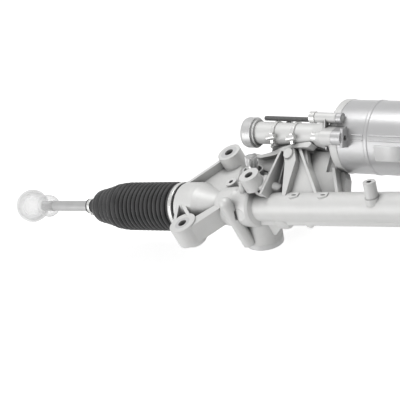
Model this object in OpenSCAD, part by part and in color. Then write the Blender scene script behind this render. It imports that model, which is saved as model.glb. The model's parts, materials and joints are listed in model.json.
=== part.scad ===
// Electric power steering gear with a steering pinion, a worm drive and a motor
// The rack axis lies along X; Z runs along the mounting bolts, -Y is the front

/* [Rack] */
// Diameter of the rack bar
rack_d = 26; // [24:0.5:28]
// Length of the rack bar between its two ball sockets
rack_len = 644; // [620:1:660]
// Normal module of the rack and pinion teeth
tooth_module = 1.75; // [1.6:0.05:1.8]
// Teeth on each pinion
pinion_teeth = 10; // [9:1:11]
// Distance from the rack axis to the pitch line of its teeth
rack_pitch_h = 8; // [7.5:0.1:8.5]
// Rack travel to each side
travel = 70; // [50:1:72]

/* [Steering pinion] */
// Place of the steering pinion along the rack
steer_x = 98; // [96:1:102]
// Lean of the steering pinion away from the viewer
steer_tilt = 16.3; // [14:0.1:18]
// Lean of the steering pinion along the rack
steer_skew = 10; // [8:0.5:12]
// Outer diameter of the pinion housing at its lower end
steer_base_d = 54; // [52:1:58]
// Outer diameter of the pinion tower above the rack
steer_tower_d = 42; // [41:1:46]
// Diameter of the splined input shaft
input_d = 17; // [15:0.5:18]

/* [Drive] */
// Place of the drive pinion along the rack
drive_x = 150; // [148:1:154]
// Lean of the drive pinion's axis, up towards the back
drive_tilt = 15.2; // [14:0.1:16]
// Turn of the drive pinion's axis across the rack
drive_skew = 2.2; // [1:0.1:3]
// Slope of the worm and the motor
drive_roll = 9.6; // [8:0.1:11]
// Distance between the worm and the worm wheel
worm_centre = 50; // [49.8:0.1:50.4]
// Module of the worm
worm_module = 2; // [1.9:0.05:2]
// Teeth on the worm wheel
wheel_teeth = 41; // [40:1:41]
// Distance from the rack to the middle of the worm wheel
wheel_y = 97.4; // [96:0.5:104]
// Outer diameter of the worm tube
worm_tube_d = 31; // [30:0.5:34]
// Outer diameter of the end cap on the worm tube
worm_cap_d = 43; // [40:0.5:45]

/* [Motor] */
// Outer diameter of the motor can
motor_d = 99; // [94:0.5:104]
// Length of the motor can
motor_len = 128; // [110:1:150]
// Length of the control unit on the motor's end
control_len = 46; // [36:1:60]

/* [Housing] */
// Outer diameter of the rack tube
tube_d = 40; // [38:0.5:42]
// Outer diameter of the barrel at each end
barrel_d = 70; // [68:0.5:74]
// Bore that the inner ball socket moves in
barrel_bore_d = 48; // [42:0.5:52]
// Distance from the middle of the gear to each barrel's outer shoulder
barrel_u = 271; // [268:1:276]
// Middle of the gear along the rack
mid_x = 250; // [248:1:252]
// Front lug, distance along the rack
lug_x = 18; // [16:1:20]
// Front lug, distance in front of the rack
lug_y = 56; // [54:1:60]
// Outer diameter of the front lug
lug_d = 40; // [38:0.5:44]
// Bore of the front lug
lug_bore_d = 12.5; // [10:0.5:14]
// Rear boss, distance along the rack
rear_x = 29; // [26:1:32]
// Rear boss, distance behind the rack
rear_y = 74; // [72:1:78]
// Outer diameter of the rear boss
rear_d = 35; // [33:0.5:38]
// Bore of the rear boss
rear_bore_d = 13; // [10:0.5:14]

/* [Tie rods] */
// Diameter of the tie rod
rod_d = 16.4; // [15:0.2:18]
// Diameter of the tie rod's thread
thread_d = 16; // [14:0.5:16]
// Length of the thread
thread_len = 36; // [30:1:40]
// Distance from the ball's centre to the rod's tip
rod_len = 242; // [230:1:260]
// Diameter of the inner ball
ball_d = 26; // [24:0.5:27]
// Swing of the tie rod to each side
swing = 20; // [15:1:21]
// Outer diameter of the ball socket
socket_d = 38; // [37:0.5:40]
// Outer diameter of the protective cap's ball
cap_d = 52; // [44:1:56]
// Outer diameter of the protective cap's collar
cap_collar_d = 35; // [30:1:38]

/* [Boots] */
// Outer diameter of the main convolutions
boot_d = 71.6; // [68:0.2:76]
// Depth of a convolution
boot_depth = 4.6; // [3:0.1:6]
// Number of main convolutions
boot_folds = 12; // [8:1:14]
// Distance between main convolutions
boot_pitch = 8.5; // [7:0.1:8.6]
// Number of convolutions on the tapered end
boot_taper_folds = 5; // [4:1:6]
// Wall of the rubber
boot_wall = 1.8; // [1.4:0.1:2.4]

/* [Hidden] */
$fn = 72;
fit = 0.05;
run_gap = 0.3;

pitch_r = tooth_module * pinion_teeth / 2;
tooth_add = 0.86 * tooth_module;
tooth_ded = 1.2 * tooth_module;
mesh_h = rack_pitch_h + pitch_r;
toothed_len = 2 * travel + 28;
pinion_bore_r = pitch_r + tooth_add + 2;

worm_r = worm_centre - wheel_teeth * worm_module / 2;
worm_lead = 2 * PI * worm_module;
worm_lead_angle = atan(worm_module / worm_r);
wheel_tip_r = worm_module * (wheel_teeth / 2 + 1);
wheel_w = 14;
case_r = 50;
worm_half = 30;
flange_x = 94;
wide_ear_angle = 36;
top_ear_angle = 8;
back_ear_angle = 215;
bolt_r = 3.5;
ear_r = 10;
ear_hole_z = 7.5;
ear_z = 4.6;
clamp_x = [-28.5, 3.3];
clamp_angle = 50;
clamp_screw_r = 3.9;
bracket_slope = 26;
seam_angles = [31.4, 39];
end_plate_x = 108;

ball_u = rack_len / 2 + 28;
tip_u = ball_u + rod_len;
socket_back = 28;
socket_front = 16;
seat_t = 3;
seat_r = ball_d / 2 + seat_t;
neck_r = 6;
mouth_angle = swing + 25;

seat_neck_r = barrel_d / 2 - 3.5;
seat_neck_len = 18;
boot_end_u = tip_u - 120;
boot_clamp_t = 1.2;
lug_top = 20;
lug_bottom = -10;
rear_top = 38;
rear_bottom = -16;
post_x = 123.1;
post_y = 4.2;
post_top = 54.8;
stud_len = 31;
input_top = 70;

// Moves everything so that the origin is the middle of the front left mounting bore
module placed() {
    translate([-lug_x, lug_y, -(lug_top + lug_bottom) / 2]) children();
}

// An end of the gear: +X runs outwards from the middle of the gear
module at_end(side) {
    translate([mid_x, 0, 0]) mirror([side < 0 ? 1 : 0, side < 0 ? 0 : 1, 0]) children();
}

// A cylinder along X from a to b
module bar_x(r, a, b) {
    translate([a, 0, 0]) rotate([0, 90, 0]) cylinder(r = r, h = b - a);
}

// A cylinder along Y from a to b
module bar_y(r, a, b) {
    translate([0, a, 0]) rotate([-90, 0, 0]) cylinder(r = r, h = b - a);
}

// A cylinder along Z from a to b
module bar_z(r, a, b) {
    translate([0, 0, a]) cylinder(r = r, h = b - a);
}

// A ring along X
module ring_x(r_out, r_in, a, b) {
    difference() {
        bar_x(r_out, a, b);
        bar_x(r_in, a - 1, b + 1);
    }
}

// A ring along Y
module ring_y(r_out, r_in, a, b) {
    difference() {
        bar_y(r_out, a, b);
        bar_y(r_in, a - 1, b + 1);
    }
}

// A ring along Z
module ring_z(r_out, r_in, a, b) {
    difference() {
        bar_z(r_out, a, b);
        bar_z(r_in, a - 1, b + 1);
    }
}

// A profile of [radius, x] points turned about the X axis
module turned_x(points) {
    rotate([0, 90, 0]) rotate_extrude() polygon(points);
}

// The steering pinion's frame: Z is its axis and the rack lies towards -Y
module steer_frame() {
    translate([steer_x, 0, 0]) rotate([-steer_tilt, 0, 0]) rotate([0, steer_skew, 0])
        translate([0, mesh_h, 0]) children();
}

// The yoke's frame: Z points from the rack away from the steering pinion
module yoke_frame() {
    translate([steer_x, 0, 0]) rotate([90 - steer_tilt, 0, 0]) children();
}

// The plane of the rack's lower teeth: Z is its normal, Y runs along the drive pinion
module drive_plane() {
    translate([drive_x, 0, 0]) rotate([drive_tilt, 0, 0]) rotate([0, 0, drive_skew]) children();
}

// The drive's frame: Y is the drive pinion's axis, X runs along the worm, which lies above
module drive_frame() {
    drive_plane() translate([0, 0, -mesh_h]) rotate([0, drive_roll, 0]) children();
}

// The worm's frame: X is the worm's axis, with the worm wheel below the origin
module worm_frame() {
    drive_frame() translate([0, wheel_y, worm_centre]) children();
}

// Outline of one gap between two rack teeth, open towards +Y; depth is below the pitch line
module rack_gap() {
    half = PI * tooth_module / 4 + 0.25;
    slope = tan(20);
    top = 6;
    polygon([
        [-half + slope * tooth_ded, -tooth_ded],
        [half - slope * tooth_ded, -tooth_ded],
        [half + slope * top, top],
        [-half - slope * top, top]
    ]);
}

function involute_angle(r, base) = tan(acos(base / r)) * 180 / PI - acos(base / r);

// Outline of a pinion with involute flanks, one tooth pointing towards +X
module pinion_outline() {
    base = pitch_r * cos(20);
    tip = pitch_r + tooth_add;
    root = pitch_r - tooth_ded + 0.3;
    start = max(base, root + 0.1);
    half = 90 / pinion_teeth - 1.6;
    steps = 4;
    radii = [for (i = [0:steps]) start + (tip - start) * i / steps];
    function flank(r) = half + involute_angle(pitch_r, base) - involute_angle(r, base);
    side = [for (r = radii) [r, flank(r)]];
    foot = flank(start);
    half_pitch = 180 / pinion_teeth;
    polygon([
        for (k = [0:pinion_teeth - 1]) let (mid = k * 360 / pinion_teeth)
            each concat(
                [[root * cos(mid - half_pitch), root * sin(mid - half_pitch)]],
                [[root * cos(mid - foot), root * sin(mid - foot)]],
                [for (p = side) [p[0] * cos(mid - p[1]), p[0] * sin(mid - p[1])]],
                [for (i = [steps:-1:0]) [side[i][0] * cos(mid + side[i][1]), side[i][0] * sin(mid + side[i][1])]],
                [[root * cos(mid + foot), root * sin(mid + foot)]]
            )
    ]);
}

// One barrel end of the housing, outside form only
module barrel_form() {
    turned_x([
        [0, barrel_u + seat_neck_len],
        [seat_neck_r - 1, barrel_u + seat_neck_len],
        [seat_neck_r, barrel_u + seat_neck_len - 1],
        [seat_neck_r, barrel_u],
        [barrel_d / 2 - 1.5, barrel_u],
        [barrel_d / 2, barrel_u - 1.5],
        [barrel_d / 2, barrel_u - 26],
        [barrel_d / 2 - 1.5, barrel_u - 34],
        [barrel_d / 2 - 6, barrel_u - 42],
        [tube_d / 2 + 6, barrel_u - 50],
        [tube_d / 2 + 2, barrel_u - 62],
        [tube_d / 2 - 1, barrel_u - 70],
        [0, barrel_u - 70]
    ]);
}

// The front lug, its web to the barrel and the beam to the pinion housing
module front_lug() {
    translate([lug_x, -lug_y, 0]) {
        bar_z(lug_d / 2, lug_bottom, lug_top);
        translate([3, 4, 0]) bar_z(lug_d / 2 - 5, lug_bottom - 7, lug_bottom);
    }
    translate([0, 0, lug_bottom + 4]) linear_extrude(8)
        polygon([
            [lug_x - lug_d / 2, -lug_y], [-14, -26], [-14, 0], [48, 0], [66, -18], [lug_x + 14, -lug_y - 14]
        ]);
    translate([0, 0, lug_bottom]) linear_extrude(lug_top - lug_bottom - 2)
        polygon([
            [lug_x + 13, -lug_y - 15], [64, -24], [70, -10], [58, -10], [lug_x + 8, -lug_y + 10]
        ]);
    lug_fin([-1, -52], 108.9, 37);
    lug_fin([22, -43], 139.4, 37);
}

// A fin from the front lug up to the barrel; foot is its place in plan and turn its direction
module lug_fin(foot, turn, length) {
    translate([foot[0], foot[1], 0]) rotate([0, 0, turn]) rotate([90, 0, 0]) linear_extrude(5, center = true)
        polygon([[0, lug_bottom + 4], [length, lug_bottom + 4], [length, 27], [0, lug_top - 1]]);
}

// The rear boss and the arm that carries it
module rear_arm() {
    translate([rear_x, rear_y, 0]) bar_z(rear_d / 2, rear_bottom, rear_top);
    translate([0, 0, -8]) linear_extrude(26)
        polygon([[-20, 0], [-20, 18], [rear_x - 17, rear_y], [rear_x + 10, rear_y + 10], [62, 30], [70, 0]]);
    translate([0, 0, -8]) linear_extrude(38)
        polygon([[-21, 4], [-21, 18], [rear_x - 20, rear_y - 10], [rear_x - 17, rear_y + 3],
            [rear_x - 10, rear_y - 6], [-15, 16], [-14, 4]]);
}

// Lugs of the far end, the same pattern mirrored about the middle of the gear
module both_ends() {
    children();
    translate([2 * mid_x, 0, 0]) mirror([1, 0, 0]) children();
}

// The bracket's frame: X along the rack, Y up the slope to the drive, Z its normal
module slope_frame() {
    translate([0, 8, 13]) rotate([bracket_slope, 0, 0]) children();
}

// The ribbed bracket between the rack tube and the flange that carries the drive housing
module bracket() {
    slope_frame() {
        translate([0, 0, -8]) linear_extrude(8) difference() {
            bracket_web();
            polygon([[146, 52], [149, 44], [157, 2], [145.5, 2]]);
        }
        translate([0, 0, -20]) linear_extrude(8)
            polygon([[166, 72], [214, 68], [234, 41], [254, -6], [196, -6], [160, 40]]);
        translate([0, 0, -24]) linear_extrude(14)
            polygon([[212, 68], [222, 64], [238, 50], [250, 30], [255, 6], [256, -6], [246, -6]]);
        translate([0, 0, -4]) linear_extrude(13) bracket_rim();
        bracket_fin([[-8, -4], [-8, 27], [62, 10], [66, -4]], 141.5, 4);
        translate([0, 0, -4]) linear_extrude(14)
            polygon([[146, 64], [155, 44], [165, -4], [171, -4], [173, 43], [173, 49], [165, 66]]);
        translate([158.4, 57.7, -4]) cylinder(r = 7.4, h = 17);
        translate([0, 0, -20]) linear_extrude(25)
            polygon([[164, 72], [170, 72], [190, 43], [212, 14], [226, -6], [221, -6], [207, 14], [186, 43]]);
        translate([0, 0, -24]) linear_extrude(26)
            polygon([[211, 70], [217, 70], [237, 41], [252, 8], [257, -6], [252, -6], [247, 8], [232, 41]]);
    }
    drive_frame() bar_y(46, wheel_y - 20, wheel_y - 12);
}

// Outline of the bracket's main web
module bracket_web() {
    polygon([
        [112, -6], [100, 30], [94, 60], [112, 62], [120, 64], [133, 70], [150, 74], [166, 77], [172, 79],
        [176, 74], [190, 43], [212, 14], [224, -6]
    ]);
}

// The rolled edge along the top of the web
module bracket_rim() {
    polygon([
        [92, 61], [108, 58], [120, 60.5], [129, 63], [142, 68.5], [159, 73], [176, 75.5], [183, 78.5], [193, 73],
        [188, 67], [178, 67.5], [160, 66.5], [146, 63], [133, 57], [122, 55], [108, 53], [92, 56]
    ]);
}

// A fin that stands on the web; side is its outline across the rack
module bracket_fin(side, x, t) {
    translate([x - t / 2, 0, 0]) rotate([90, 0, 90]) linear_extrude(t) polygon(side);
}

// The space that the drive housing takes
module drive_envelope(gap) {
    drive_frame() {
        bar_y(case_r + gap, wheel_y - 13, wheel_y + 40);
        translate([0, wheel_y, worm_centre]) bar_x(worm_tube_d / 2 + gap, -80, 60);
        wheel_lugs(6, wheel_y - 13, wheel_y + 40);
    }
    worm_frame() {
        bar_x(motor_d / 2 + 0.6 + gap, 60, 240);
        for (x = clamp_x) {
            bar_x(worm_tube_d / 2 + 1.6 + gap, x - gap, x + 5 + gap);
            rotate([clamp_angle, 0, 0]) translate([x + 2.5, 0, worm_tube_d / 2 + clamp_screw_r + 0.6])
                bar_x(clamp_screw_r + 2.5 + gap, -9, 10);
        }
    }
    ear_frame(back_ear_angle) translate([0, 0, ear_z]) bar_x(9, 68, 120);
}

module rack_housing() {
    color("gainsboro") difference() {
        union() {
            difference() {
                bracket();
                drive_envelope(1);
                cover_envelope();
            }
            bar_x(tube_d / 2, 40, 2 * mid_x - 40);
            translate([100, -14, -tube_d / 2 - 1.5]) cube([2 * mid_x - 200, 12, 8]);
            at_end(-1) barrel_form();
            at_end(1) barrel_form();
            both_ends() {
                front_lug();
                rear_arm();
            }
            steer_housing_form();
            drive_sleeve_form();
            small_bosses();
            difference() {
                side_boss(9, -3, 22);
                cover_envelope();
            }
        }
        housing_bores();
    }
}

// Outside form of the steering pinion's housing, its base ledge, tower and screw bosses
module steer_housing_form() {
    steer_frame() {
        bar_z(steer_base_d / 2, -56, -20);
        bar_z(steer_base_d / 2 - 2, -20, 8);
        bar_z(steer_tower_d / 2, 8, 36);
        tower_bosses(5.5, 22, 36);
    }
    translate([84, -25, 0]) {
        bar_z(9.5, -46, 28);
        translate([0, 0, 28]) sphere(r = 9.5);
    }
    post();
    turned_x([[0, 50], [24, 50], [27, 58], [28, 70], [28, 109], [26, 113], [tube_d / 2 - 1, 117], [0, 117]]);
    translate([57, 26, 0]) bar_z(8.5, -8, 24);
    translate([82, 0, 18]) sphere(r = 11.5);
    post_buttress();
    translate([0, -2, 0]) rotate([90, 0, 0]) linear_extrude(8, center = true)
        polygon([[100, -48], [120, -48], [156, -18], [100, -10]]);
}

// The tall post beside the pinion tower, cut back where the sensor cover passes it
module post() {
    difference() {
        translate([post_x, post_y, 0]) bar_z(14.5, post_top - 21, post_top);
        cover_envelope();
    }
}

// A boss that faces the front below the post
module side_boss(r, a, b) {
    translate([133, 0, 30]) bar_y(r, a, b);
}

// The cast mass that leans against the post and runs down to the tube
module post_buttress() {
    difference() {
        hull() {
            translate([post_x - 4, post_y + 8, 0]) bar_z(10, 0, post_top - 13);
            translate([145, 18, 0]) bar_z(7, 0, 20);
        }
        cover_envelope();
    }
}

// The space that the sensor cover and the input shaft take
module cover_envelope() {
    steer_frame() {
        bar_z(steer_tower_d / 2 + 3, 35.5, 42);
        bar_z(input_d / 2 + 7, 40, 80);
        tower_bosses(7.5, 35.2, 41);
    }
}

// The three screw bosses round the pinion tower
module tower_bosses(r, a, b) {
    for (turn = [20, 150, 262]) rotate([0, 0, turn]) translate([steer_tower_d / 2 + 2, 0, 0]) bar_z(r, a, b);
}

// Outside form of the drive pinion's sleeve under the rack
module drive_sleeve_form() {
    drive_frame() {
        bar_y(16, -10, wheel_y - 12);
        rotate([90, 0, 0]) rotate_extrude() polygon([[0, 9], [16, 9], [16, 11], [14, 16], [10, 19.5], [0, 21]]);
        bar_y(21, wheel_y - 34, wheel_y - 12);
    }
}

// Small bosses, pads and the stud boss on the rack tube
module small_bosses() {
    for (x = [187, 237]) translate([x, 0, tube_d / 2 - 2]) rotate([0, 0, 20]) pad();
    stud_frame() {
        bar_z(8.5, 0, stud_len);
        bar_z(10.5, 0, 9);
    }
}

// The frame of the stud boss: +Z points along its hole
module stud_frame() {
    translate([319, -6, 12]) rotate([-steer_tilt, 0, 0]) rotate([0, 5, 0]) children();
}

// A lozenge-shaped staking pad
module pad() {
    linear_extrude(3.6) polygon([[-8, -2], [-4, -4.5], [6, -4.5], [8, 2], [4, 4.5], [-6, 4.5]]);
}

module housing_bores() {
    bar_x(rack_d / 2 + 2, 0, 2 * mid_x);
    at_end(-1) barrel_bores();
    at_end(1) barrel_bores();
    both_ends() {
        translate([lug_x, -lug_y, 0]) bar_z(lug_bore_d / 2, lug_bottom - 8, lug_top + 1);
        translate([rear_x, rear_y, 0]) bar_z(rear_bore_d / 2, rear_bottom - 1, rear_top + 1);
    }
    steer_frame() {
        bar_z(pinion_bore_r, -57, 37);
        bar_z(lower_out_r, -57, -18);
        bar_z(upper_out_r, 16, 37);
    }
    translate([post_x, post_y, 0]) bar_z(6, post_top - 15, post_top + 1);
    translate([57, 26, 0]) bar_z(3.2, 8, 25);
    yoke_frame() bar_z(yoke_r + fit, 0, yoke_end + 8);
    drive_frame() {
        bar_y(pinion_bore_r, -10.5, wheel_y - 11);
        bar_y(front_out_r, -17.5, -10);
        bar_y(drive_out_r, wheel_y - 30, wheel_y - 11);
    }
    side_boss(3.5, -4, 10);
    stud_frame() bar_z(3.4, 15, stud_len + 1);
}

// The bore for the ball socket and the seat for the rack bush
module barrel_bores() {
    bar_x(barrel_bore_d / 2, barrel_u - 36, barrel_u + seat_neck_len + 1);
    bar_x(bush_out_r, barrel_u - 60, barrel_u - 30);
}

lower_out_r = 13;
upper_out_r = 17.5;
drive_out_r = 13.5;
front_out_r = 9.5;
shaft_r = 6;
yoke_r = 9;
yoke_end = 22.5;
bush_out_r = rack_d / 2 + 4;

module pinion_cap() {
    color("silver") steer_frame() {
        bar_z(steer_base_d / 2, -64, -56);
        ring_z(lower_out_r, lower_out_r - 3, -56, -50);
    }
}

module lower_bearing() {
    color("dimgray") steer_frame() ring_z(lower_out_r, shaft_r + fit, -30, -18);
}

module upper_bearing() {
    color("dimgray") steer_frame() ring_z(upper_out_r, 9 + fit, 16, 27);
}

module torque_sensor() {
    color("darkgreen") steer_frame() ring_z(upper_out_r, input_d / 2 + 1.5, 29, 36);
}

module sensor_cover() {
    color("gainsboro") steer_frame() difference() {
        union() {
            bar_z(steer_tower_d / 2, 36, 40);
            bar_z(input_d / 2 + 6, 40, 50);
            tower_bosses(5.5, 36, 40);
        }
        bar_z(input_d / 2 + 1, 35, 45);
        bar_z(input_d / 2 + 4, 44, 51);
    }
}

module input_seal() {
    color("black") steer_frame() ring_z(input_d / 2 + 4, input_d / 2 + fit, 44, 50);
}

module yoke() {
    color("slategray") yoke_frame() difference() {
        bar_z(yoke_r, 3, yoke_end - 4.5);
        bar_x(rack_d / 2 + fit, -20, 20);
        bar_z(6.6, yoke_end - 8, yoke_end - 4);
    }
}

module yoke_spring() {
    color("silver") yoke_frame()
        for (k = [0:2]) translate([0, 0, yoke_end - 7.1 + 2 * k]) rotate_extrude() translate([5.4, 0]) circle(r = 0.9);
}

module yoke_plug() {
    color("gainsboro") yoke_frame() bar_z(yoke_r, yoke_end - 1.9, yoke_end + 4.6);
}

module rack_bushes() {
    color("ivory") for (s = [-1, 1]) at_end(s) ring_x(bush_out_r, rack_d / 2 + fit, barrel_u - 60, barrel_u - 42);
}

module rack_bar() {
    color("silver") difference() {
        bar_x(rack_d / 2, mid_x - rack_len / 2, mid_x + rack_len / 2);
        for (s = [-1, 1]) at_end(s) bar_x(7, rack_len / 2 - 18, rack_len / 2 + 1);
        steer_rack_teeth();
        drive_rack_teeth();
    }
}

// The tooth gaps that the steering pinion meshes with, cut into a flat on the back of the rack
module steer_rack_teeth() {
    step = PI * tooth_module / cos(steer_skew);
    count = floor(toothed_len / 2 / step);
    rotate([-steer_tilt, 0, 0]) {
        translate([steer_x - toothed_len / 2, rack_pitch_h + tooth_add, -15]) cube([toothed_len, 10, 30]);
        for (k = [-count:count])
            translate([steer_x + k * step, rack_pitch_h, 0]) rotate([0, steer_skew, 0])
                translate([0, 0, -16]) linear_extrude(32) rack_gap();
    }
}

// The tooth gaps that the drive pinion meshes with, cut into a flat on the underside of the rack
module drive_rack_teeth() {
    step = PI * tooth_module / cos(drive_skew);
    count = floor(toothed_len / 2 / step);
    translate([drive_x, 0, 0]) rotate([drive_tilt, 0, 0]) {
        translate([-toothed_len / 2, -15, -rack_pitch_h - tooth_add - 10]) cube([toothed_len, 30, 10]);
        for (k = [-count:count])
            translate([k * step, 0, -rack_pitch_h]) rotate([0, 0, drive_skew]) rotate([-90, 0, 0])
                translate([0, 0, -16]) linear_extrude(32) rack_gap();
    }
}

module steering_pinion() {
    color("silver") steer_frame() difference() {
        union() {
            bar_z(shaft_r, -44, -14);
            translate([0, 0, -14]) linear_extrude(28) rotate([0, 0, -90]) pinion_outline();
            bar_z(9, 14, 30);
            bar_z(shaft_r + 3.4, -44, -36);
        }
        bar_z(3.5, -8, 31);
    }
}

module input_shaft() {
    color("silver") steer_frame() difference() {
        union() {
            bar_z(input_d / 2, 30 + run_gap, 50);
            spline();
        }
        bar_z(2.8, 30, 58);
    }
}

// The splined end of the input shaft
module spline() {
    difference() {
        bar_z(input_d / 2, 50, input_top);
        for (a = [0:15:345]) rotate([0, 0, a]) translate([input_d / 2, 0, 53]) rotate([0, 0, 45])
            cube([1.1, 1.1, 50], center = false);
        translate([0, 0, input_top - 16]) ring_z(input_d, input_d / 2 - 1.6, 0, 4);
    }
}

module torsion_bar() {
    color("gray") steer_frame() {
        bar_z(2.3, -6, 44);
        bar_z(2.8, 44, 58);
    }
}

module drive_pinion() {
    color("silver") drive_frame() {
        bar_y(shaft_r, -17, -10);
        translate([0, -10, 0]) rotate([-90, 0, 0]) linear_extrude(21) rotate([0, 0, -90 - drive_roll]) pinion_outline();
        bar_y(8, 11, wheel_y + 12);
    }
}

module worm_wheel() {
    root_r = wheel_tip_r - 2.25 * worm_module;
    color("wheat") drive_frame() difference() {
        union() {
            bar_y(root_r, wheel_y - wheel_w / 2, wheel_y + wheel_w / 2);
            for (k = [0:wheel_teeth - 1]) rotate([0, k * 360 / wheel_teeth, 0]) translate([0, wheel_y, root_r - 0.5])
                rotate([0, 0, -worm_lead_angle]) wheel_tooth(wheel_tip_r - root_r + 0.5);
        }
        bar_y(8, wheel_y - 8, wheel_y + 8);
        for (a = [0:60:300]) rotate([0, a, 0]) translate([0, 0, 22]) bar_y(6, wheel_y - 8, wheel_y + 8);
    }
}

// One tooth of the worm wheel, a straight prism set at the worm's lead angle
module wheel_tooth(h) {
    half_w = wheel_w / 2 - 0.6;
    rotate([90, 0, 0]) linear_extrude(2 * half_w, center = true)
        polygon([[-1.9, 0], [1.9, 0], [1.0, h - 1], [0.7, h], [-0.7, h], [-1.0, h - 1]]);
}

module worm_shaft() {
    root_r = worm_r - 1.2 * worm_module;
    tip_r = worm_r + worm_module;
    turns = 2 * worm_half / worm_lead;
    color("silver") worm_frame() {
        bar_x(shaft_r, -worm_half - 18, -worm_half);
        bar_x(shaft_r, worm_half, worm_half + 30);
        translate([-worm_half, 0, 0]) rotate([0, 90, 0])
            linear_extrude(2 * worm_half, twist = -360 * turns, slices = 72, $fn = 0, segments = 14)
                rotate([0, 0, worm_phase(turns)]) worm_section(root_r, tip_r);
    }
}

// Turns the section so that a gap of the worm faces the wheel at the middle of its length
function worm_phase(turns) = 90 - 180 * turns;

// Section of the two-start worm
module worm_section(root_r, tip_r) {
    polygon([
        for (s = [0, 180])
            each [for (p = [[-80, root_r], [-48, root_r], [-17, tip_r], [0, tip_r], [17, tip_r], [48, root_r], [80, root_r]])
                [p[1] * cos(s + p[0]), p[1] * sin(s + p[0])]]
    ]);
}

module drive_bearings() {
    color("dimgray") drive_frame() {
        ring_y(front_out_r, shaft_r + fit, -17.5, -11);
        ring_y(drive_out_r, 8 + fit, wheel_y - 29, wheel_y - 17);
        ring_y(drive_out_r, 8 + fit, wheel_y + 8.5, wheel_y + 13);
    }
}

// The small vent plug screwed into the underside of the tube
module vent_plug() {
    color("silver") translate([195, -8, -tube_d / 2 - 1.5]) {
        bar_z(5.5, -4, 0);
        bar_z(3.6, -7.5, -4);
    }
}

// The six screw lugs round the wheel bowl
module wheel_lugs(r, a, b) {
    for (turn = [45:60:345]) rotate([0, turn, 0]) translate([0, 0, 52]) bar_y(r, a, b);
}

// The drive housing: the wheel bowl with the worm tube across its top
module drive_housing() {
    color("gainsboro") drive_frame() difference() {
        union() {
            bar_y(case_r, wheel_y - 12, wheel_y + 12);
            translate([0, wheel_y, worm_centre]) {
                bar_x(worm_tube_d / 2, -66, 48);
                bar_x(worm_cap_d / 2 - 3, -66, -56);
                turned_x([[0, 36], [worm_tube_d / 2, 36], [worm_tube_d / 2 + 1.5, 44], [19, 54], [19, 62], [0, 62]]);
            }
            wheel_lugs(5.5, wheel_y, wheel_y + 12);
        }
        bar_y(wheel_tip_r + 1.5, wheel_y - 8.5, wheel_y + 13);
        bar_y(8.6, wheel_y - 13, wheel_y);
        translate([0, wheel_y, worm_centre]) {
            bar_x(worm_r + worm_module + 1.2, -67, 50);
            bar_x(11.8, -67, 63);
            bar_x(13, -67, -36);
            bar_x(13, 36, 63);
        }
    }
}

module wheel_cover() {
    color("silver") drive_frame() difference() {
        union() {
            bar_y(case_r, wheel_y + 13, wheel_y + 17);
                bar_y(22, wheel_y + 17, wheel_y + 20);
            ring_y(wheel_tip_r + 1.4, wheel_tip_r - 2, wheel_y + 8.4, wheel_y + 13);
            ring_y(drive_out_r + 3, drive_out_r, wheel_y + 8.6, wheel_y + 13);
            wheel_lugs(5.5, wheel_y + 12, wheel_y + 17);
        }
        translate([0, wheel_y, worm_centre]) {
            bar_x(worm_tube_d / 2 + run_gap, -80, 60);
            bar_x(19 + run_gap, 35, 66);
        }
    }
}

module worm_end_cap() {
    color("silver") worm_frame() {
        turned_x([[0, -78], [worm_cap_d / 2 - 5, -78], [worm_cap_d / 2 - 1.2, -75.5], [worm_cap_d / 2, -72],
            [worm_cap_d / 2, -60], [worm_cap_d / 2 - 2.9, -60], [worm_cap_d / 2 - 2.9, -66], [0, -66]]);
    }
}

module worm_bearings() {
    color("dimgray") worm_frame() {
        ring_x(13, shaft_r + fit, -46, -36);
        ring_x(13, shaft_r + fit, 36, 46);
    }
}

// An ear on the motor's rim: +Z points outwards and +X runs along the motor
module ear_frame(angle) {
    worm_frame() rotate([angle, 0, 0]) translate([0, 0, motor_d / 2]) children();
}

// The wide ear, across the motor's axis: a round boss with a flat that runs in to the rim
module wide_ear(a, b) {
    translate([a, 0, 0]) rotate([90, 0, 90]) linear_extrude(b - a)
        polygon([[-9.5, -2.5], [-9.5, ear_hole_z], [0, ear_hole_z + ear_r], [7.5, ear_hole_z + 6.6], [16, -4], [8, -2.4], [0, -1.8]]);
    translate([0, 0, ear_hole_z]) bar_x(ear_r, a, b);
}

// The cast flange that carries the motor, with its neck and the ears for the bolts
module motor_flange() {
    color("gainsboro") difference() {
        union() {
            worm_frame() turned_x([[0, 62], [20, 62], [24, 69], [32, 76], [motor_d / 2 - 3, 80], [motor_d / 2, 83],
                [motor_d / 2 + 0.6, 83.6], [motor_d / 2 + 0.6, flange_x - 0.6], [motor_d / 2, flange_x], [0, flange_x]]);
            ear_frame(wide_ear_angle) {
                wide_ear(77, flange_x);
                translate([0, 0, ear_hole_z]) bar_x(7.5, 70, 78);
                hull() {
                    translate([79, 1, -4]) cube([1, 22, 10]);
                    translate([58, 4, -29]) cube([1, 12, 6]);
                }
            }
            ear_frame(top_ear_angle) translate([0, 0, ear_z]) bar_x(7, 62, flange_x);
            ear_frame(back_ear_angle) translate([0, 0, ear_z]) bar_x(8, 78, flange_x);
        }
        worm_frame() {
            bar_x(14, 61, 75);
            bar_x(motor_d / 2 - 6, 84, flange_x + 1);
            bar_x(19, 72, 90);
        }
        ear_holes();
    }
}

// Holes for the bolts through the ears
module ear_holes() {
    ear_frame(wide_ear_angle) translate([0, 0, ear_hole_z]) bar_x(bolt_r + fit, 50, flange_x + 20);
    ear_frame(top_ear_angle) translate([0, 0, ear_z]) bar_x(bolt_r + fit, 50, flange_x + 9);
    ear_frame(back_ear_angle) translate([0, 0, ear_z]) bar_x(bolt_r + fit, 50, flange_x + 9);
}

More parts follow.
